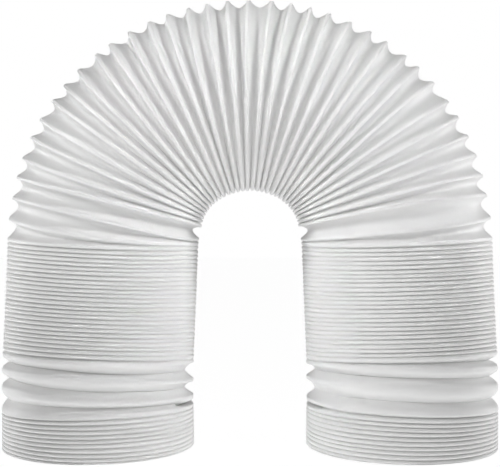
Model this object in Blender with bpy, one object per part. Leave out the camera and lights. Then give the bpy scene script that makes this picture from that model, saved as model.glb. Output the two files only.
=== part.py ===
"""Flexible exhaust hose of a portable air conditioner, bent into an upturned U.

One white polypropylene hose with a left-handed spiral fold.  It stands on its
two round mouths.  The bend is pulled open on its outer side and folded shut on
its inner side; each leg has a long run of collapsed turns, a few open turns
and a short run of collapsed turns at the foot.

Metres, +Z up.  The two feet stand on z = 0 and the bend lies in the XZ plane,
with the front of the hose towards -Y.
"""
import math

import bmesh
import bpy
from mathutils import Vector

# Driving sizes of the hose
HOSE_DIAMETER = 0.150        # across the crests of the folds
FOLD_FACE = 0.0108           # slant width of one fold face, crest to valley
WALL = 0.0006                # thickness of the plastic
CLOSED_GAP = 0.00344         # crest to crest where the folds are pushed shut
SEGMENTS = 24                # flats around the hose

# Turns from the top of the bend down one side
BEND_TOP_TURNS = 7           # pulled open outside, loosely shut inside
BEND_SIDE_TURNS = 8          # pulled open outside, pressed shut inside
TWO_SIDED_TURNS = 1          # open outside and inside
BEND_END_TURNS = 2           # open outside, shut inside
UPPER_STACK_TURNS = 26       # collapsed
FREE_TURNS = 3               # the open turns between the two stacks
LOWER_STACK_TURNS = 10       # collapsed, standing on the floor

# Crest to crest gaps of the turns that are not simply shut
BEND_TOP_INNER_GAP = 0.0038
BEND_SIDE_INNER_GAP = 0.0028
TWO_SIDED_INNER_GAP = 0.0118
FREE_OUTER_GAPS = (0.0130, 0.0146, 0.0175)
FREE_INNER_GAPS = (0.0136, 0.0147, 0.0066)
LOWER_OUTER_GAP = 0.0028     # the foot is pressed a little harder outside
LOWER_INNER_GAP = 0.0032

# Lean of the turns towards the back, in degrees, at turns from the top
LEAN = ((0, 0.0), (16, 0.3), (17, -2.8), (18, -2.0), (44, 3.5), (47, 2.6), (57, 0.0))

# The steepest groove where a turn begins to open, depth for each unit of gap
GROOVE_SLOPE = 3.2

# Ring grooves between the crests of a collapsed run, a few for the whole run
RING_DEPTH = 0.0016
UPPER_RING_PARTS = 5
LOWER_RING_PARTS = 2

CREST_RADIUS = HOSE_DIAMETER / 2
CLOSED_DEPTH = math.sqrt(FOLD_FACE ** 2 - (CLOSED_GAP / 2) ** 2)
BORE_RADIUS = CREST_RADIUS - CLOSED_DEPTH
CLOSED_RADIAL_WALL = WALL * FOLD_FACE / (CLOSED_GAP / 2)
STEPS = 2 * SEGMENTS         # steps of the centre line in one turn
RING_STEPS = STEPS           # half the width of a ring groove, in steps

PLASTIC_COLOUR = (0.83, 0.83, 0.82, 1.0)
PLASTIC_ROUGHNESS = 0.42


def clear_scene():
    """Start from an empty scene."""
    for item in list(bpy.data.objects):
        bpy.data.objects.remove(item, do_unlink=True)


def gap_runs():
    """Runs of turns from the top down: number of turns, outer gap, inner gap."""
    runs = [
        [BEND_TOP_TURNS, None, BEND_TOP_INNER_GAP],
        [BEND_SIDE_TURNS, None, BEND_SIDE_INNER_GAP],
        [TWO_SIDED_TURNS, None, TWO_SIDED_INNER_GAP],
        [BEND_END_TURNS, None, CLOSED_GAP],
        [UPPER_STACK_TURNS, CLOSED_GAP, CLOSED_GAP],
    ]
    for outer, inner in zip(FREE_OUTER_GAPS, FREE_INNER_GAPS):
        runs.append([FREE_TURNS // len(FREE_OUTER_GAPS), outer, inner])
    runs.append([LOWER_STACK_TURNS, LOWER_OUTER_GAP, LOWER_INNER_GAP])
    # The quarter circle from the top to the upright foot gives the open gap.
    inner_length = sum(run[0] * run[2] for run in runs)
    # Inner crests lie half a turn after outer ones.
    inner_length += 0.5 * (runs[0][2] - runs[-1][2])
    outer_length = sum(run[0] * run[1] for run in runs if run[1])
    open_turns = sum(run[0] for run in runs if not run[1])
    open_gap = (HOSE_DIAMETER * math.pi / 2 + inner_length - outer_length) / open_turns
    for run in runs:
        run[1] = run[1] or open_gap
    return runs


def gap_at(runs, turn, column):
    """Gap of the run that holds a turn, counted from the top."""
    end = 0
    for run in runs:
        end += run[0]
        if turn < end:
            return run[column]
    return runs[-1][column]


def lean_at(turn):
    """Lean towards the back in radians, straight between its stations."""
    for (start, first), (end, last) in zip(LEAN, LEAN[1:]):
        if turn <= end:
            share = (turn - start) / (end - start)
            return math.radians(first + (last - first) * share)
    return math.radians(LEAN[-1][1])


def half_frames(runs):
    """Centre, outward and front directions of the turns down the left side."""
    total = sum(run[0] for run in runs)
    angle = 0.0
    centre = Vector((0.0, 0.0, 0.0))
    frames = []
    for step in range(total * STEPS + 1):
        turn = step / STEPS
        lean = lean_at(turn)
        outward = Vector((-math.sin(angle), 0.0, math.cos(angle)))
        front = Vector((
            math.sin(lean) * math.cos(angle),
            -math.cos(lean),
            math.sin(lean) * math.sin(angle),
        ))
        frames.append((centre.copy(), outward, front))
        middle = (step + 0.5) / STEPS
        outer = gap_at(runs, middle, 1) / STEPS
        inner = gap_at(runs, max(middle - 0.5, 0.0), 2) / STEPS
        halfway = angle + (outer - inner) / HOSE_DIAMETER / 2
        lean = lean_at(middle)
        travel = Vector((
            -math.cos(halfway) * math.cos(lean),
            -math.sin(lean),
            -math.sin(halfway) * math.cos(lean),
        ))
        centre += travel * (outer + inner) / 2
        angle += (outer - inner) / HOSE_DIAMETER
    foot = frames[-1][0].copy()
    for place, _outward, _front in frames:
        place.z -= foot.z
    return frames


class Hose:
    """Corners and faces of the hose, found by segment and turn."""

    def __init__(self, frames):
        self.frames = frames
        self.last_step = len(frames) - 1
        self.mesh = bmesh.new()
        self.corners = {}

    def point(self, segment, step, radius):
        """Point at a segment and a step along the hose; steps left of the top are negative."""
        centre, outward, front = self.frames[min(abs(step), self.last_step)]
        turned = 2 * math.pi * segment / SEGMENTS
        place = centre + radius * (math.cos(turned) * outward + math.sin(turned) * front)
        if step > 0:
            place = Vector((-place.x, place.y, place.z))
        return place

    def gap(self, segment, first, last):
        """Distance between two crests at one segment."""
        start = self.point(segment, first, CREST_RADIUS)
        return (self.point(segment, last, CREST_RADIUS) - start).length

    def corner(self, surface, segment, step, radius):
        """Corner of a surface, made once."""
        segment %= SEGMENTS
        key = (surface, segment, step)
        if key not in self.corners:
            self.corners[key] = self.mesh.verts.new(self.point(segment, step, radius))
        return self.corners[key]

    def radial_wall(self, segment, step):
        """Radial thickness of the slanted wall for the local gap."""
        gap = self.gap(segment, step - STEPS // 2, step + STEPS // 2)
        return min(WALL * FOLD_FACE / (gap / 2), CLOSED_RADIAL_WALL)

    def fill(self, corners):
        """Triangles of a four-cornered patch, with repeated corners left out."""
        for trio in ((corners[0], corners[1], corners[2]), (corners[0], corners[2], corners[3])):
            if len(set(trio)) == 3:
                self.mesh.faces.new(trio)

    def fold_column(self, segment, start, end, surface):
        """Crest and valley corners of the open turns at one segment."""
        shift = segment * STEPS // SEGMENTS
        first_row = start // STEPS
        last_row = end // STEPS + 2
        column = []
        for row in range(first_row, last_row + 1):
            crest = min(max(row * STEPS - shift, start), end)
            following = min(max((row + 1) * STEPS - shift, start), end)
            column.append(self.fold_corner(surface, segment, crest, 0.0))
            if row < last_row:
                gap = self.gap(segment, crest, following) if following > crest else 0.0
                depth = math.sqrt(max(FOLD_FACE ** 2 - (gap / 2) ** 2, 0.0))
                depth = min(depth, GROOVE_SLOPE * gap)
                middle = (crest + following) // 2
                column.append(self.fold_corner(surface, segment, middle, depth))
        return column

    def fold_corner(self, surface, segment, step, depth):
        """Corner of a fold on the outside or the inside of the wall."""
        radius = CREST_RADIUS - depth
        if surface == "inside":
            radius -= self.radial_wall(segment % SEGMENTS, step)
        return self.corner(surface, segment, step, radius)

    def add_folds(self, start, end):
        """Open folds between two steps, outside and inside of the wall."""
        for surface in ("outside", "inside"):
            for segment in range(SEGMENTS):
                near = self.fold_column(segment, start, end, surface)
                far = self.fold_column(segment + 1, start, end, surface)
                for row in range(len(near) - 1):
                    self.fill((near[row], near[row + 1], far[row + 1], far[row]))

    def add_stack(self, start, end, parts):
        """Collapsed folds between two steps, as one thick sleeve with a few ring grooves."""
        steps = [start + (end - start) * part // parts for part in range(parts + 1)]
        rings = [(start, CREST_RADIUS)]
        for step in steps[1:-1]:
            rings.append((step - RING_STEPS, CREST_RADIUS))
            rings.append((step, CREST_RADIUS - RING_DEPTH))
            rings.append((step + RING_STEPS, CREST_RADIUS))
        rings.append((end, CREST_RADIUS))
        self.add_tube("outside", rings)
        self.add_tube("bore", [(step, BORE_RADIUS) for step in steps])

    def add_tube(self, surface, rings):
        """Faces round the hose between rings, each a step and a radius."""
        for segment in range(SEGMENTS):
            for (near, first), (far, last) in zip(rings, rings[1:]):
                self.fill((
                    self.corner(surface, segment, near, first),
                    self.corner(surface, segment, far, last),
                    self.corner(surface, segment + 1, far, last),
                    self.corner(surface, segment + 1, near, first),
                ))

    def close_end(self, step, wall_surface):
        """Flat end face of a sleeve, from its bore out to a wall surface."""
        for segment in range(SEGMENTS):
            self.fill((
                self.corner("bore", segment, step, BORE_RADIUS),
                self.corners[(wall_surface, segment, step)],
                self.corners[(wall_surface, (segment + 1) % SEGMENTS, step)],
                self.corner("bore", segment + 1, step, BORE_RADIUS),
            ))

    def centre_depth(self):
        """Put the middle of the hose's depth on y = 0."""
        depths = [corner.co.y for corner in self.mesh.verts]
        middle = (min(depths) + max(depths)) / 2
        for corner in self.mesh.verts:
            corner.co.y -= middle


def build_hose():
    """The whole hose as one closed solid."""
    hose = Hose(half_frames(gap_runs()))
    bend_turns = BEND_TOP_TURNS + BEND_SIDE_TURNS + TWO_SIDED_TURNS + BEND_END_TURNS
    bend_end = bend_turns * STEPS
    upper_end = bend_end + UPPER_STACK_TURNS * STEPS
    lower_start = upper_end + FREE_TURNS * STEPS + STEPS // 2
    foot = upper_end + FREE_TURNS * STEPS + LOWER_STACK_TURNS * STEPS
    hose.add_folds(-bend_end, bend_end)
    hose.add_folds(-lower_start, -upper_end)
    hose.add_folds(upper_end, lower_start)
    for start, end in ((-upper_end, -bend_end), (bend_end, upper_end)):
        hose.add_stack(start, end, UPPER_RING_PARTS)
    for start, end in ((-foot, -lower_start), (lower_start, foot)):
        hose.add_stack(start, end, LOWER_RING_PARTS)
    for step in (bend_end, upper_end, lower_start):
        hose.close_end(-step, "inside")
        hose.close_end(step, "inside")
    hose.close_end(-foot, "outside")
    hose.close_end(foot, "outside")
    hose.centre_depth()
    bmesh.ops.recalc_face_normals(hose.mesh, faces=hose.mesh.faces[:])
    data = bpy.data.meshes.new("exhaust_hose")
    hose.mesh.to_mesh(data)
    hose.mesh.free()
    item = bpy.data.objects.new("exhaust_hose", data)
    bpy.context.scene.collection.objects.link(item)
    return item


def plastic_material():
    """White polypropylene with a soft sheen."""
    material = bpy.data.materials.new("white_polypropylene")
    material.use_nodes = True
    shader = material.node_tree.nodes["Principled BSDF"]
    shader.inputs["Base Color"].default_value = PLASTIC_COLOUR
    shader.inputs["Roughness"].default_value = PLASTIC_ROUGHNESS
    shader.inputs["Metallic"].default_value = 0.0
    return material


def main():
    """Build the hose and give it its material."""
    clear_scene()
    hose = build_hose()
    hose.data.materials.append(plastic_material())


main()
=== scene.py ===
"""White accordion exhaust hose of a portable air conditioner, bent into an upturned U."""

import math
from dataclasses import dataclass

import bmesh
import bpy
import numpy as np
from bpy.props import FloatProperty, FloatVectorProperty, IntProperty, PointerProperty
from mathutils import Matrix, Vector


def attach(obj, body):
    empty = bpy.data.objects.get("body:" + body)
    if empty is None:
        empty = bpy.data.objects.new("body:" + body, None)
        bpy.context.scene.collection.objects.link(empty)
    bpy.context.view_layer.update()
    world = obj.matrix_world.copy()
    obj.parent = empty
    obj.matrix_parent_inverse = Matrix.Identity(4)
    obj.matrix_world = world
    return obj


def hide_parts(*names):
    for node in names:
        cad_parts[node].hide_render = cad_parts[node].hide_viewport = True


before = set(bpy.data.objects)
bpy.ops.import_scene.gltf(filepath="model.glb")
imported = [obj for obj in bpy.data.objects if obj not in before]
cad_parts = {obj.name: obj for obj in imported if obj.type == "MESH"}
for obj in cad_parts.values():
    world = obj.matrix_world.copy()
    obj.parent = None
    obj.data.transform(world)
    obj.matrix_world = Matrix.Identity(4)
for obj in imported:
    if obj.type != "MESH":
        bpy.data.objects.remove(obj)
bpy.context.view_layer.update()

bl_info = {
    "name": "Accordion Exhaust Hose",
    "version": (1, 0, 0),
    "blender": (4, 5, 0),
    "location": "3D View > Sidebar > Hose",
    "description": "A spiral folded duct hose bent into an upturned U, with its stage",
    "category": "Object",
}

# A turn is counted along the spiral from the top of the bend, and is negative on the left.
# A gap is the distance from one crest to the next.

# Lean of the turns towards the back, in degrees, at turns from the top of the bend
LEAN = ((0, 0.0), (16, 0.3), (17, -2.8), (18, -2.0), (44, 3.5), (47, 2.6), (57, 0.0))
# Frames of the centre line in one turn
STEPS = 48
# Runs of turns that make up the bend, before the first collapsed run
BEND_RUNS = 4

# Waves of unevenness in one turn of the spiral
WAVES = (0.31, 0.57, 0.83, 1.37, 2.21)
# What is uneven: the place of a crest, the depth of a groove and the place of its valley
UNEVEN = ("crest", "depth", "valley")
# Turns over which the unevenness fades out towards the flat mouths
FADE_TURNS = 3.0
# Unevenness of the groove depth, and of the place of the valley, as shares
DEPTH_WANDER = 0.11
VALLEY_WANDER = 0.055

# Gaps between which a groove goes from shallow to its full depth
GROOVE_GAPS = (0.0030, 0.0125)
# Bends the growth of the groove between the two
GROOVE_CURVE = 1.4
# Share of the real fold depth that shows where the folds are shut
SHUT_SHARE = 0.30
# How much of that is left in a leg at angles from the outer side: the sides are pressed hardest
PRESSED = ((0, 0.30), (30, 0.65), (50, 1.0), (90, 0.90), (120, 0.65), (150, 0.40), (180, 0.35))
# Turns between which the bend goes over into the leg
LEG_TURNS = (16, 19)
# How sharply the depth levels out at its limit, and the share that round folds go deeper
LEVELLING = 4
ROUND_DEEPER = 0.15

# How far a valley lies above the middle of its two crests, in shares of a gap, at turns
FOLD_LEAN = ((0, 0.10), (44.4, 0.10), (45.4, -0.03), (46.4, 0.02))
# Turns from the top over which one side of a fold becomes its upper side
CLIMB_TURNS = 4
# Turns between which the crests change from sharp to round
ROUND_TURNS = (30, 40)
# Angles from the outer side between which the round crests turn sharp again, and how far
SHARP_ANGLES = (120.0, 165.0)
SHARPENED = 0.8

# Turn at which the lowest open fold pinches shut, and the turns on either side of it
SLIT_TURN = 47.5
SLIT_REACH = 0.12
# Angles between which the slit opens up and closes again
SLIT_OPENS = (151.0, 160.0)
SLIT_CLOSES = (184.0, 194.0)
# Share of the real fold depth in the slit, and how far its valley lies off the middle
SLIT_DEPTH = 0.95
SLIT_DROP = 0.28

# Widest blunt crest as a share of the gap, and its fall as a share of its half width
STRIP_SHARE = 0.16
STRIP_FALL = 0.12
# Power of a sharp crest's side: on its under side, and what the upper side adds
CUSP_POWER = 0.6
UPPER_CUSP = 0.5
# How round the upper side of a sharp crest is
UPPER_ROUND = 0.15
# Points of the outside between crest and valley, as shares: in the shut folds, on the blunt
# strip of an open fold, and on the face below it
SHUT_POINTS = (0.5, 0.78)
STRIP_POINT = 0.6
FACE_POINTS = (0.07, 0.30, 0.62)

# Gaps between which the inside of a crest opens up
RECESS_GAPS = (0.0045, 0.0090)
# Least thickness between outside and inside
INNER_WALL = 0.0009
# Thickness behind an open crest, and how far the inside bulges out behind a shut one
OPEN_CREST = 0.0012
SHUT_CREST = 0.0010

# Angle in degrees from which an edge is shaded sharp
SHARP_EDGE = 75.0
# Least length or share to divide by
TINY = 1e-9

# Noise in the plastic: scale, detail and roughness
CLOUD = (14.0, 4.0, 0.55)
GRAIN = (900.0, 2.0, 0.5)
SPECK = (160.0, 3.0, 0.6)
# How much of the shade the clouds and the specks bring
CLOUD_SHADE = 0.6
SPECK_SHADE = 0.25
# Spread of the roughness
GLOSS_SPREAD = 0.14
# Relief of the surface: strength, height in metres, and the parts of grain and specks
BUMP_STRENGTH = 0.12
BUMP_HEIGHT = 0.0003
GRAIN_BUMP = 0.6
SPECK_BUMP = 0.8
# Light that the plastic bends and lets through
PLASTIC_IOR = 1.49
SCATTER_WEIGHT = 0.3
SCATTER_DEPTH = 0.003

WHITE = (1.0, 1.0, 1.0, 1.0)
# Strength of the surroundings as light
WORLD_LIGHT = 0.14
# Half width and roughness of the floor
FLOOR_REACH = 6.0
FLOOR_ROUGHNESS = 0.8
# Light given off by the floor, and how far the camera sees it as plain white
FLOOR_GLOW = 0.62
FLOOR_WHITENING = 0.94
# Middle of the hose that the lights aim at, and the middle of one half of it
AIM = (0.0, 0.0, 0.2)
HALF_AIM = (0.105, 0.0, 0.19)
# Wide lights: name, place, width and height, power; a place off the middle is mirrored too
WIDE_LIGHTS = (
    ("top_front", (0.0, -0.9, 1.2), (0.8, 0.6), 0.15),
    ("low_front", (0.0, -1.1, 0.1), (0.9, 0.25), 1.1),
    ("rim", (1.15, 0.31, 0.36), (0.5, 0.7), 4.2),
)
# Narrow beams that cross over to the far half: name, azimuth, elevation, power
CROSSED_BEAMS = (
    ("low_key", 65.0, 30.0, 0.115),
    ("high_key", 50.0, 50.0, 0.024),
)
BEAM_DISTANCE = 1.2
BEAM_SIZE = (0.17, 0.36)
BEAM_SPREAD = 16.0
# Width of the picture behind the lens, in millimetres
SENSOR_WIDTH = 36.0


class HoseSizes(bpy.types.PropertyGroup):
    """Sizes of the folded hose."""

    diameter: FloatProperty(
        name="Diameter", description="Across the crests of the folds",
        default=0.150, unit="LENGTH")
    face: FloatProperty(
        name="Fold face", description="Slant width of one fold face",
        default=0.0108, unit="LENGTH")
    wall: FloatProperty(
        name="Wall", description="Thickness of the plastic",
        default=0.0006, unit="LENGTH")
    strip: FloatProperty(
        name="Crest strip", description="Width of the blunt strip along each crest",
        default=0.0022, unit="LENGTH")
    groove: FloatProperty(
        name="Deepest groove", description="Depth at which the rounded valleys level out",
        default=0.0073, unit="LENGTH")
    closed_gap: FloatProperty(
        name="Closed gap", description="Crest to crest where the folds are pushed shut",
        default=0.00344, unit="LENGTH")
    top_inner_gap: FloatProperty(
        name="Top inner gap", description="Inner gap of the turns at the top of the bend",
        default=0.0038, unit="LENGTH")
    side_inner_gap: FloatProperty(
        name="Side inner gap", description="Inner gap of the turns at the sides of the bend",
        default=0.0028, unit="LENGTH")
    two_sided_gap: FloatProperty(
        name="Two-sided gap", description="Inner gap of the turn that is open on both sides",
        default=0.0118, unit="LENGTH")
    lower_outer_gap: FloatProperty(
        name="Lower outer gap", description="Outer gap of the collapsed turns on the floor",
        default=0.0028, unit="LENGTH")
    lower_inner_gap: FloatProperty(
        name="Lower inner gap", description="Inner gap of the collapsed turns on the floor",
        default=0.0032, unit="LENGTH")
    free_outer: FloatVectorProperty(
        name="Free outer gaps", description="Outer gaps of the three open turns of a leg",
        default=(0.0130, 0.0146, 0.0175), unit="LENGTH")
    free_inner: FloatVectorProperty(
        name="Free inner gaps", description="Inner gaps of the three open turns of a leg",
        default=(0.0136, 0.0147, 0.0066), unit="LENGTH")
    top_turns: IntProperty(
        name="Top turns", description="Turns from the top of the bend to its side",
        default=7)
    side_turns: IntProperty(
        name="Side turns", description="Turns at the side of the bend",
        default=8)
    upper_turns: IntProperty(
        name="Upper turns", description="Collapsed turns in the upper run of a leg",
        default=26)
    lower_turns: IntProperty(
        name="Lower turns", description="Collapsed turns that stand on the floor",
        default=10)
    columns: IntProperty(
        name="Columns", description="Columns of points around the hose",
        default=76)
    unevenness: FloatProperty(
        name="Unevenness", description="How far a crest wanders, as a share of one gap",
        default=0.07, subtype="FACTOR")
    seed: IntProperty(
        name="Seed", description="Picks one set of uneven folds",
        default=5)


class HoseFinish(bpy.types.PropertyGroup):
    """Colours and gloss of the plastic."""

    plastic: FloatVectorProperty(
        name="Plastic", description="White polypropylene",
        default=(0.87, 0.87, 0.867), subtype="COLOR", min=0.0, max=1.0)
    shade: FloatVectorProperty(
        name="Shade", description="Where the plastic is thicker or a little dusty",
        default=(0.80, 0.80, 0.796), subtype="COLOR", min=0.0, max=1.0)
    roughness: FloatProperty(
        name="Roughness", description="Roughness of the plastic",
        default=0.42, subtype="FACTOR", min=0.0, max=1.0)


class StageSizes(bpy.types.PropertyGroup):
    """Floor and camera."""

    floor: FloatVectorProperty(
        name="Floor", description="Colour of the pale floor",
        default=(0.93, 0.93, 0.93), subtype="COLOR", min=0.0, max=1.0)
    distance: FloatProperty(
        name="Distance", description="Camera to the plane of the bend",
        default=0.795, unit="LENGTH")
    height: FloatProperty(
        name="Height", description="Height of the camera over the floor",
        default=0.1663, unit="LENGTH")
    lens: FloatProperty(
        name="Lens", description="Focal length on a 36 mm wide picture",
        default=72.0, unit="CAMERA")


class Socket:
    """A shader value that can be used in Python expressions."""

    def __init__(self, tree, link):
        self.tree = tree
        self.link = link

    def math(self, operation, first, second):
        """Result of a Math node."""
        node = self.tree.nodes.new("ShaderNodeMath")
        node.operation = operation
        for slot, value in zip(node.inputs, (first, second)):
            feed(slot, value)
        return Socket(self.tree, node.outputs[0])

    def __add__(self, other):
        return self.math("ADD", self, other)

    __radd__ = __add__

    def __mul__(self, other):
        return self.math("MULTIPLY", self, other)

    __rmul__ = __mul__

    def __sub__(self, other):
        return self.math("SUBTRACT", self, other)

    def __rsub__(self, other):
        return self.math("SUBTRACT", other, self)


def feed(slot, value):
    """Link or set an input of a node."""
    if isinstance(value, Socket):
        value.tree.links.new(value.link, slot)
    else:
        slot.default_value = value


class Shader:
    """Nodes of a new material or of the world."""

    def __init__(self, owner):
        self.owner = owner
        owner.use_nodes = True
        self.tree = owner.node_tree

    def node(self, kind, settings=None, sockets=None, output=0):
        """A node of a kind, with its settings made first and then its sockets."""
        made = self.tree.nodes.new(kind)
        for name, value in (settings or {}).items():
            setattr(made, name, value)
        for name, value in (sockets or {}).items():
            feed(made.inputs[name], value)
        return Socket(self.tree, made.outputs[output])

    def noise(self, place, pattern):
        """A noise of a scale, detail and roughness."""
        scale, detail, roughness = pattern
        return self.node(
            "ShaderNodeTexNoise", {"noise_dimensions": "3D"},
            {"Vector": place, "Scale": scale, "Detail": detail, "Roughness": roughness})

    def output(self, name):
        """First output of a node that is there from the start."""
        return Socket(self.tree, self.tree.nodes[name].outputs[0])

    def feed(self, name, sockets):
        """Inputs of a node that is there from the start."""
        for socket, value in sockets.items():
            feed(self.tree.nodes[name].inputs[socket], value)


def plastic_material(finish):
    """White polypropylene: soft sheen, faint clouds and a fine grain."""
    shader = Shader(bpy.data.materials.new("white_polypropylene"))
    place = shader.node("ShaderNodeTexCoord", output=3)
    cloud = shader.noise(place, CLOUD)
    grain = shader.noise(place, GRAIN)
    speck = shader.noise(place, SPECK)
    shaded = cloud * CLOUD_SHADE + speck * SPECK_SHADE
    tone = shader.node(
        "ShaderNodeMix", {"data_type": "RGBA"},
        {0: shaded, 6: (*finish.plastic, 1.0), 7: (*finish.shade, 1.0)}, output=2)
    relief = grain * GRAIN_BUMP + speck * SPECK_BUMP
    bump = shader.node(
        "ShaderNodeBump", None,
        {"Strength": BUMP_STRENGTH, "Distance": BUMP_HEIGHT, "Height": relief})
    shader.feed("Principled BSDF", {
        "Base Color": tone,
        "Roughness": finish.roughness + (speck - 0.5) * GLOSS_SPREAD,
        "Normal": bump,
        "IOR": PLASTIC_IOR,
        "Subsurface Weight": SCATTER_WEIGHT,
        "Subsurface Radius": (1.0, 1.0, 1.0),
        "Subsurface Scale": SCATTER_DEPTH,
    })
    return shader.owner


def floor_material(colour):
    """Pale stage paint that looks a little whiter than it lights."""
    shader = Shader(bpy.data.materials.new("pale_floor"))
    shader.feed("Principled BSDF", {
        "Base Color": (*colour, 1.0),
        "Roughness": FLOOR_ROUGHNESS,
        "Emission Color": WHITE,
        "Emission Strength": FLOOR_GLOW,
    })
    camera_ray = shader.node("ShaderNodeLightPath")
    white = shader.node("ShaderNodeEmission", None, {"Strength": 1.0})
    seen = shader.node(
        "ShaderNodeMixShader", None,
        {0: camera_ray * FLOOR_WHITENING, 1: shader.output("Principled BSDF"), 2: white})
    shader.feed("Material Output", {"Surface": seen})
    return shader.owner


def studio_world():
    """White surroundings that light the hose more softly than they look."""
    shader = Shader(bpy.data.worlds.new("studio"))
    shader.feed("Background", {"Color": WHITE, "Strength": WORLD_LIGHT})
    camera_ray = shader.node("ShaderNodeLightPath")
    white = shader.node("ShaderNodeBackground", None, {"Color": WHITE, "Strength": 1.0})
    seen = shader.node(
        "ShaderNodeMixShader", None,
        {0: camera_ray, 1: shader.output("Background"), 2: white})
    shader.feed("World Output", {"Surface": seen})
    return shader.owner


@dataclass
class Run:
    """Turns with the same gaps; without an outer gap they take an equal share of the bend."""

    turns: int
    outer: float
    inner: float


class CentreLine:
    """Centres and directions of the turns, counted from the top of the bend."""

    def __init__(self, sizes):
        self.sizes = sizes
        self.runs = self.gap_runs()
        self.end = sum(run.turns for run in self.runs)
        self.walk()

    def gap_runs(self):
        """Runs of turns from the top down."""
        sizes = self.sizes
        runs = [
            Run(sizes.top_turns, None, sizes.top_inner_gap),
            Run(sizes.side_turns, None, sizes.side_inner_gap),
            Run(1, None, sizes.two_sided_gap),
            Run(2, None, sizes.closed_gap),
            Run(sizes.upper_turns, sizes.closed_gap, sizes.closed_gap),
        ]
        for outer, inner in zip(sizes.free_outer, sizes.free_inner):
            runs.append(Run(1, outer, inner))
        runs.append(Run(sizes.lower_turns, sizes.lower_outer_gap, sizes.lower_inner_gap))
        inner_length = sum(run.turns * run.inner for run in runs)
        # Inner crests lie half a turn after outer ones
        inner_length += 0.5 * (runs[0].inner - runs[-1].inner)
        outer_length = sum(run.turns * run.outer for run in runs if run.outer)
        open_turns = sum(run.turns for run in runs if not run.outer)
        # The hose turns a right angle from the top to an upright leg
        longer = sizes.diameter * math.pi / 2
        open_gap = (longer + inner_length - outer_length) / open_turns
        for run in runs:
            run.outer = run.outer or open_gap
        return runs

    def walk(self):
        """Steps down one side from the top and keeps every frame."""
        ends = np.cumsum([run.turns for run in self.runs])
        count = self.end * STEPS
        middles = (np.arange(count) + 0.5) / STEPS
        last = len(self.runs) - 1
        outer_run = np.minimum(np.searchsorted(ends, middles, side="right"), last)
        inner_run = np.searchsorted(ends, np.maximum(middles - 0.5, 0.0), side="right")
        inner_run = np.minimum(inner_run, last)
        outer = np.array([run.outer for run in self.runs])[outer_run] / STEPS
        inner = np.array([run.inner for run in self.runs])[inner_run] / STEPS
        turned = np.concatenate(([0.0], np.cumsum((outer - inner) / self.sizes.diameter)))
        halfway = (turned[1:] + turned[:-1]) / 2
        stations, leans = zip(*LEAN)
        lean = np.radians(np.interp(middles, stations, leans))
        travel = np.stack((
            -np.cos(halfway) * np.cos(lean),
            -np.sin(lean),
            -np.sin(halfway) * np.cos(lean)), 1)
        moves = travel * ((outer + inner) / 2)[:, None]
        centres = np.vstack((np.zeros((1, 3)), np.cumsum(moves, 0)))
        centres[:, 2] -= centres[-1, 2]
        self.turns = np.arange(count + 1) / STEPS
        lean = np.radians(np.interp(self.turns, stations, leans))
        self.centre = centres
        self.outward = np.stack((-np.sin(turned), np.zeros_like(turned), np.cos(turned)), 1)
        self.front = np.stack((
            np.sin(lean) * np.cos(turned),
            -np.cos(lean),
            np.sin(lean) * np.sin(turned)), 1)

    def along(self, table, turn):
        """Rows of a table at turns, mirrored right of the top."""
        away = np.abs(turn)
        found = np.stack(
            [np.interp(away, self.turns, table[:, axis]) for axis in range(3)], -1)
        found[..., 0] *= np.where(turn > 0, -1.0, 1.0)
        return found

    def spoke(self, turn, angle):
        """Direction from the centre to the wall."""
        across = np.cos(angle)[..., None] * self.along(self.outward, turn)
        return across + np.sin(angle)[..., None] * self.along(self.front, turn)

    def open_row(self, row):
        """Whether any part of a row of folds lies outside the collapsed runs."""
        bend = sum(run.turns for run in self.runs[:BEND_RUNS])
        free = bend + self.runs[BEND_RUNS].turns
        end = free + len(self.sizes.free_outer) + 0.5
        spans = ((-bend, bend), (free, end), (-end, -free))
        return any(row + 1 > low and row - 1 < high for low, high in spans)


def ease(value, low, high):
    """0 at the low end, 1 at the high end, and smooth between."""
    share = np.clip((value - low) / (high - low), 0.0, 1.0)
    return share * share * (3.0 - 2.0 * share)


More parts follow.
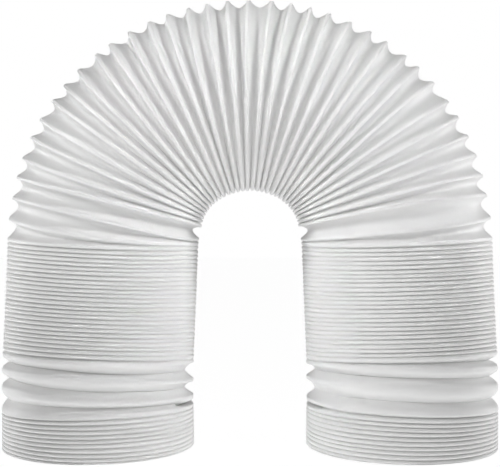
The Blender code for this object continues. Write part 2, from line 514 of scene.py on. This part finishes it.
class Folds:
    """Points of the folded wall, found by column, row and place in the row."""

    def __init__(self, line, sizes):
        self.line = line
        self.sizes = sizes
        self.columns = sizes.columns
        self.rows = np.arange(-line.end - 1, line.end + 2)
        draw = np.random.default_rng(sizes.seed)
        phases = draw.uniform(0.0, 2 * math.pi, (len(UNEVEN), len(WAVES)))
        self.phases = dict(zip(UNEVEN, phases))
        self.lay_out()

    def wander(self, turn, what):
        """Smooth unevenness along the spiral, between about -1 and 1."""
        total = sum(
            np.sin(2 * math.pi * wave * turn + phase)
            for wave, phase in zip(WAVES, self.phases[what]))
        fade = ease(self.line.end - np.abs(turn), 0.0, FADE_TURNS)
        return total / math.sqrt(len(WAVES)) * fade

    def lay_out(self):
        """Place of the crests and valleys, and the shape of every groove."""
        line, sizes = self.line, self.sizes
        self.angle = 2 * math.pi * np.arange(self.columns)[:, None] / self.columns
        even = np.append(self.rows, self.rows[-1] + 1)[None, :] - self.angle / (2 * math.pi)
        uneven = even + sizes.unevenness * self.wander(even, "crest")
        self.turn = np.clip(uneven, -line.end, line.end)
        self.spoke = line.spoke(self.turn, np.broadcast_to(self.angle, self.turn.shape))
        centre = line.along(line.centre, self.turn)
        self.crest = centre + sizes.diameter / 2 * self.spoke
        self.gap = np.linalg.norm(self.crest[:, 1:] - self.crest[:, :-1], axis=-1)
        self.full = np.sqrt(np.maximum(sizes.face ** 2 - (self.gap / 2) ** 2, 0.0))
        self.shut = 1 - ease(self.gap, *RECESS_GAPS)
        across = np.degrees(np.minimum(self.angle, 2 * math.pi - self.angle))
        away = np.abs(self.turn[:, :-1])
        self.round = ease(away, *ROUND_TURNS)
        self.depth = self.groove_depth(across, away)
        # 1 on the left, where the next crest is the higher one, and -1 on the right
        self.climb = np.clip(-self.turn[:, :-1] / CLIMB_TURNS, -1.0, 1.0)
        lean = np.interp(away, *zip(*FOLD_LEAN)) * self.climb
        wander = self.wander(self.turn[:, :-1], "valley")
        self.valley = 0.5 + VALLEY_WANDER * wander + lean
        self.round = self.round * (1 - SHARPENED * ease(across, *SHARP_ANGLES))
        self.pinch()

    def groove_depth(self, across, away):
        """Depth of every groove before the slit: shallow where the folds are shut."""
        low, high = GROOVE_GAPS
        opened = np.clip((self.gap - low) / (high - low), 0.0, 1.0)
        pressed = 1 - np.interp(across, *zip(*PRESSED))
        shut_share = SHUT_SHARE * (1 - pressed * ease(away, *LEG_TURNS))
        depth = self.full * (shut_share + (1 - shut_share) * opened ** GROOVE_CURVE)
        depth = depth * (1 + DEPTH_WANDER * self.wander(self.turn[:, :-1], "depth"))
        limit = self.sizes.groove * (1 + ROUND_DEEPER * self.round)
        levelled = (depth ** LEVELLING + limit ** LEVELLING) ** (1 / LEVELLING)
        return np.minimum(depth * limit / levelled, self.gap)

    def pinch(self):
        """Deepen the slit where the lowest open turn closes on the inner side of a leg."""
        lowest = np.maximum(np.abs(self.turn[:, :-1]), np.abs(self.turn[:, 1:]))
        middle, reach = SLIT_TURN, SLIT_REACH
        turns = ease(lowest, middle - 2 * reach, middle - reach)
        turns = turns * (1 - ease(lowest, middle + reach, middle + 2 * reach))
        angle = np.degrees(self.angle)
        slit = turns * ease(angle, *SLIT_OPENS) * (1 - ease(angle, *SLIT_CLOSES))
        self.shut = self.shut * (1 - slit)
        self.round = np.maximum(self.round, slit)
        self.depth = self.depth + slit * (SLIT_DEPTH * self.full - self.depth)
        self.valley = self.valley + slit * (0.5 - SLIT_DROP * self.climb - self.valley)

    def groove(self, share, following=False):
        """Depth of the outside at a share of the way from a crest to the valley."""
        strip, start = self.blunt_strip()
        past = np.clip((share - start) / (1 - start), 0.0, 1.0)
        fall = STRIP_FALL * strip
        blunt = fall * np.minimum(share / np.maximum(start, TINY), 1.0) ** 2
        even = np.sin(math.pi / 2 * past)
        dome = 1 - np.cos(math.pi / 2 * past)
        # The under side of a crest falls away faster than its upper side
        above = 0.5 + 0.5 * self.climb * (-1 if following else 1)
        cusp = even ** (CUSP_POWER + UPPER_CUSP * above)
        domed = np.maximum(self.round, UPPER_ROUND * above)
        domed = self.shut + (1 - self.shut) * domed
        shape = cusp * (1 - domed) + dome * domed
        return blunt + np.maximum(self.depth - fall, 0.0) * shape

    def blunt_strip(self):
        """Half width of the blunt crest, and its share of the way to the valley."""
        strip = np.minimum(self.sizes.strip / 2, STRIP_SHARE * self.gap)
        return strip, strip / np.maximum(self.gap / 2, TINY)

    def place(self, share, sunk):
        """Points at a share of the way from crest to crest, sunk below the crests."""
        start, stop = self.crest[:, :-1], self.crest[:, 1:]
        turning = self.spoke[:, 1:] - self.spoke[:, :-1]
        spoke = self.spoke[:, :-1] + turning * share[..., None]
        return start + (stop - start) * share[..., None] - spoke * sunk[..., None]

    def half_shares(self, dense):
        """Shares of the way from crest to valley at which the outside has points."""
        if not dense:
            return [np.full_like(self.gap, share) for share in SHUT_POINTS]
        start = self.blunt_strip()[1]
        return [STRIP_POINT * start, start,
                *(start + (1 - start) * share for share in FACE_POINTS)]

    def outside(self, dense):
        """Outside points of every row, from one crest to just before the next."""
        halves = self.half_shares(dense)
        zero = np.zeros_like(self.gap)
        points = [self.place(zero, zero)]
        for half in halves:
            points.append(self.place(half * self.valley, self.groove(half)))
        points.append(self.place(self.valley, self.groove(zero + 1.0)))
        for half in reversed(halves):
            points.append(self.place(1 - half * (1 - self.valley), self.groove(half, True)))
        return np.stack(points, 2)

    def inside(self, dense):
        """Inside points of every row: closed where the folds are shut."""
        zero = np.zeros_like(self.gap)
        deep = np.maximum(self.depth + INNER_WALL, self.full + self.sizes.wall)
        crest = OPEN_CREST + (deep - (OPEN_CREST + SHUT_CREST)) * self.shut
        crest = np.minimum(crest, deep)
        points = [self.place(zero, crest)]
        middle = np.maximum(self.groove(zero + 0.5) + INNER_WALL, (crest + deep) / 2)
        if dense:
            points.append(self.place(self.valley / 2, middle))
        points.append(self.place(self.valley, deep))
        if dense:
            points.append(self.place((1 + self.valley) / 2, middle))
        return np.stack(points, 2)


class Skin:
    """Corners and faces of the closed mesh."""

    def __init__(self, folds):
        self.folds = folds
        self.points = []
        self.faces = []
        self.index = {}
        self.grids = {
            ("outside", True): folds.outside(True),
            ("outside", False): folds.outside(False),
            ("inside", True): folds.inside(True),
            ("inside", False): folds.inside(False),
        }
        self.dense = [folds.line.open_row(row) for row in folds.rows]

    def corner(self, surface, column, row, step):
        """Corner of a surface, made once; past the last column the spiral is one row on."""
        folds = self.folds
        if column == folds.columns:
            column, row = 0, row - 1
        turn = folds.turn[column, row]
        # A fold past the end of the spiral is flat, and is one corner of the mouth
        flat = step > 0 and folds.turn[column, row + 1] == turn
        at_end = abs(turn) == folds.line.end and (step == 0 or flat)
        key = (surface, column, turn > 0) if at_end else (surface, column, row, step)
        if key not in self.index:
            self.index[key] = len(self.points)
            if at_end:
                self.points.append(self.end_point(surface, column, row))
            else:
                self.points.append(self.grids[surface, self.dense[row]][column, row, step])
        return self.index[key]

    def end_point(self, surface, column, row):
        """Point of a mouth's outside or inside edge."""
        folds = self.folds
        point = folds.crest[column, row]
        if surface == "inside":
            half_gap = folds.sizes.lower_inner_gap / 2
            shut = math.sqrt(folds.sizes.face ** 2 - half_gap ** 2)
            point = point - folds.spoke[column, row] * shut
        return point

    def strand(self, surface, column, row):
        """Corners of one fold at one column, with the first corner of the next."""
        own = row - 1 if column == self.folds.columns else row
        count = self.grids[surface, self.dense[own]].shape[2]
        corners = [self.corner(surface, column, row, step) for step in range(count)]
        corners.append(self.corner(surface, column, row + 1, 0))
        return corners

    def face(self, *corners):
        """One face, with repeated corners left out."""
        kept = list(dict.fromkeys(corners))
        if len(kept) > 2:
            self.faces.append(kept)

    def bridge(self, near, far):
        """Faces between two strands that may have different numbers of corners."""
        if len(near) == len(far):
            for a, b, c, d in zip(near, near[1:], far[1:], far):
                self.face(a, b, c, d)
            return
        first, second = 0, 0
        first_end, second_end = len(near) - 1, len(far) - 1
        while first < first_end or second < second_end:
            first_lags = (first + 1) / first_end <= (second + 1) / second_end
            if second == second_end or (first < first_end and first_lags):
                self.face(near[first], near[first + 1], far[second])
                first += 1
            else:
                self.face(near[first], far[second + 1], far[second])
                second += 1

    def build(self):
        """All faces of the outside, the inside and the two mouths."""
        folds = self.folds
        for surface in ("outside", "inside"):
            for column in range(folds.columns):
                for row in range(1, len(folds.rows)):
                    near = self.strand(surface, column, row)
                    self.bridge(near, self.strand(surface, column + 1, row))
        for column in range(folds.columns):
            after = (column + 1) % folds.columns
            for right in (False, True):
                self.face(
                    self.index["outside", column, right], self.index["outside", after, right],
                    self.index["inside", after, right], self.index["inside", column, right])


def hose_mesh(sizes):
    """Closed mesh of the whole folded hose."""
    skin = Skin(Folds(CentreLine(sizes), sizes))
    skin.build()
    mesh = bpy.data.meshes.new("spiral_hose")
    mesh.from_pydata([tuple(point) for point in skin.points], [], skin.faces)
    made = bmesh.new()
    made.from_mesh(mesh)
    depths = [corner.co.y for corner in made.verts]
    middle = (min(depths) + max(depths)) / 2
    bmesh.ops.translate(made, vec=(0.0, -middle, 0.0), verts=made.verts[:])
    bmesh.ops.recalc_face_normals(made, faces=made.faces[:])
    made.to_mesh(mesh)
    made.free()
    return mesh


class EXHAUST_OT_hose(bpy.types.Operator):
    """Build the folded hose"""

    bl_idname = "exhaust.hose"
    bl_label = "Folded hose"

    def execute(self, context):
        mesh = hose_mesh(context.scene.hose_sizes)
        hose = bpy.data.objects.new("spiral_hose", mesh)
        context.scene.collection.objects.link(hose)
        mesh.shade_smooth()
        mesh.set_sharp_from_angle(angle=math.radians(SHARP_EDGE))
        mesh.materials.append(plastic_material(context.scene.hose_finish))
        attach(hose, "root")
        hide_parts("exhaust_hose")
        return {"FINISHED"}


def area_light(name, place, target, size, power, spread=180.0):
    """Soft rectangular light aimed at a point; a small spread makes it a beam."""
    data = bpy.data.lights.new(name, "AREA")
    data.shape = "RECTANGLE"
    data.size, data.size_y = size
    data.energy = power
    data.spread = math.radians(spread)
    lamp = bpy.data.objects.new(name, data)
    lamp.location = place
    lamp.rotation_euler = (Vector(target) - Vector(place)).to_track_quat("-Z", "Y").to_euler()
    bpy.context.scene.collection.objects.link(lamp)


def hang_lights():
    """The wide lights round the hose and the beams that cross in front of it."""
    for name, (x, y, z), size, power in WIDE_LIGHTS:
        for side in ((-1, 1) if x else (1,)):
            area_light(name, (side * x, y, z), AIM, size, power)
    for name, azimuth, elevation, power in CROSSED_BEAMS:
        for side in (-1, 1):
            target = Vector((-side * HALF_AIM[0], HALF_AIM[1], HALF_AIM[2]))
            across, up = math.radians(azimuth), math.radians(elevation)
            away = Vector((
                side * math.sin(across) * math.cos(up),
                -math.cos(across) * math.cos(up),
                math.sin(up)))
            place = target + BEAM_DISTANCE * away
            area_light(name, place, target, BEAM_SIZE, power, BEAM_SPREAD)


class EXHAUST_OT_stage(bpy.types.Operator):
    """Lay the floor, hang the lights and set up the camera"""

    bl_idname = "exhaust.stage"
    bl_label = "Stage"

    def execute(self, context):
        scene = context.scene
        stage = scene.stage_sizes
        mesh = bpy.data.meshes.new("floor")
        plane = bmesh.new()
        bmesh.ops.create_grid(plane, x_segments=1, y_segments=1, size=FLOOR_REACH)
        plane.to_mesh(mesh)
        plane.free()
        floor = bpy.data.objects.new("floor", mesh)
        scene.collection.objects.link(floor)
        mesh.materials.append(floor_material(stage.floor))
        hang_lights()
        scene.world = studio_world()
        data = bpy.data.cameras.new("camera")
        data.lens = stage.lens
        data.sensor_width = SENSOR_WIDTH
        camera = bpy.data.objects.new("camera", data)
        camera.location = (0.0, -stage.distance, stage.height)
        camera.rotation_euler = (math.pi / 2, 0.0, 0.0)
        scene.collection.objects.link(camera)
        scene.camera = camera
        scene.view_settings.view_transform = "Standard"
        return {"FINISHED"}


class EXHAUST_PT_panel(bpy.types.Panel):
    """Pieces of the exhaust hose"""

    bl_idname = "EXHAUST_PT_panel"
    bl_label = "Exhaust hose"
    bl_space_type = "VIEW_3D"
    bl_region_type = "UI"
    bl_category = "Hose"

    def draw(self, context):
        self.layout.operator(EXHAUST_OT_hose.bl_idname)
        self.layout.operator(EXHAUST_OT_stage.bl_idname)


CLASSES = (HoseSizes, HoseFinish, StageSizes, EXHAUST_OT_hose, EXHAUST_OT_stage, EXHAUST_PT_panel)


def register():
    """Register the classes, and give the scene its sizes and colours."""
    for made in CLASSES:
        bpy.utils.register_class(made)
    bpy.types.Scene.hose_sizes = PointerProperty(type=HoseSizes)
    bpy.types.Scene.hose_finish = PointerProperty(type=HoseFinish)
    bpy.types.Scene.stage_sizes = PointerProperty(type=StageSizes)


def unregister():
    """Undo what register did."""
    del bpy.types.Scene.hose_sizes
    del bpy.types.Scene.hose_finish
    del bpy.types.Scene.stage_sizes
    for made in reversed(CLASSES):
        bpy.utils.unregister_class(made)


def main():
    """Make every piece."""
    register()
    bpy.ops.exhaust.hose()
    bpy.ops.exhaust.stage()


if __name__ == "__main__":
    main()
